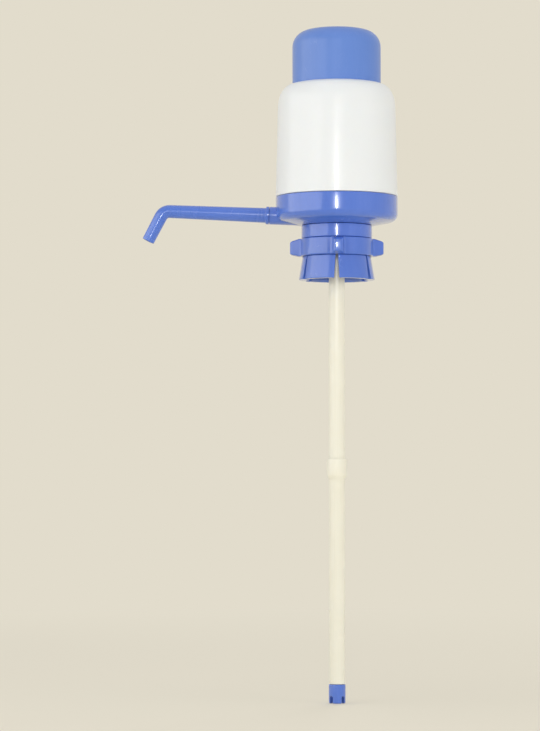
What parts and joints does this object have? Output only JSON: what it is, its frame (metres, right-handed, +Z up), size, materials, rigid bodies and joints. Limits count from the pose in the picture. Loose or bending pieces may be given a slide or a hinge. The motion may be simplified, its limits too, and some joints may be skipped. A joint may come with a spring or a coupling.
{
  "type": "water jug pump",
  "caption": "Hand-press pump for a large water bottle: a sliding head over a cylinder case, a bowl-shaped base with a bent spout, a clamping neck adapter and a long intake tube.",
  "frame": {"origin": "on the pump's axis, at the lower face of the neck gasket, where the bottle's rim meets it", "axes": "+Z up along the pump's axis, out of the pressed face of the head; the spout points along -X; the front faces -Y"},
  "size_m": [0.243, 0.116, 0.638],
  "materials": {
    "blue_plastic": "moulded, glossy",
    "white_plastic": "moulded, glossy",
    "tube_plastic": "extruded, milky white",
    "plate_plastic": "moulded, satin",
    "bellows_rubber": "moulded, dull",
    "seal_rubber": "moulded, dull",
    "valve_rubber": "moulded, dull",
    "spring_steel": "drawn wire",
    "screw_steel": "plated"
  },
  "bodies": {
    "pump_body": {"cylinder_case": "white_plastic", "base": "blue_plastic", "bellows": "bellows_rubber", "return_spring": "spring_steel", "valve_plate": "plate_plastic", "plate_screw_1": "screw_steel", "plate_screw_2": "screw_steel", "plate_screw_3": "screw_steel", "plate_screw_4": "screw_steel", "adapter": "blue_plastic", "neck_gasket": "seal_rubber", "tube_seal": "seal_rubber", "upper_tube": "tube_plastic", "lower_tube": "tube_plastic", "intake_foot": "blue_plastic"},
    "press_head": {"pump_head": "blue_plastic", "head_plate": "plate_plastic", "head_screw_1": "screw_steel", "head_screw_2": "screw_steel", "head_screw_3": "screw_steel"},
    "intake_flap": {"intake_valve": "valve_rubber"},
    "outlet_flap": {"outlet_valve": "valve_rubber"},
    "neck_nut": {"locking_nut": "blue_plastic"},
    "spout_arm": {"spout": "blue_plastic", "spout_seal_1": "seal_rubber", "spout_seal_2": "seal_rubber"}
  },
  "joints": [
    {"name": "head_press", "type": "slide", "parent": "pump_body", "child": "press_head", "axis": [0, 0, -1], "range_m": [0, 0.045], "stiffness_N_per_m": 300, "springref_m": -0.012, "deforming": ["bellows", "return_spring"]},
    {"name": "intake_valve_lift", "type": "slide", "parent": "press_head", "child": "intake_flap", "axis": [0, 0, -1], "range_m": [0, 0.0015], "stiffness_N_per_m": 20, "springref_m": -0.002},
    {"name": "outlet_valve_lift", "type": "slide", "parent": "pump_body", "child": "outlet_flap", "axis": [0, 0, -1], "range_m": [0, 0.0015], "stiffness_N_per_m": 20, "springref_m": -0.002},
    {"name": "nut_turn", "type": "hinge", "parent": "pump_body", "child": "neck_nut", "pos_m": [0, 0, -0.00725], "axis": [0, 0, 1], "range_deg": [-90, 90]},
    {"name": "spout_swivel", "type": "hinge", "parent": "pump_body", "child": "spout_arm", "pos_m": [-0.06394, 0, 0.02379], "axis": [-0.999, 0, 0.0436], "range_deg": [-90, 90]}
  ]
}
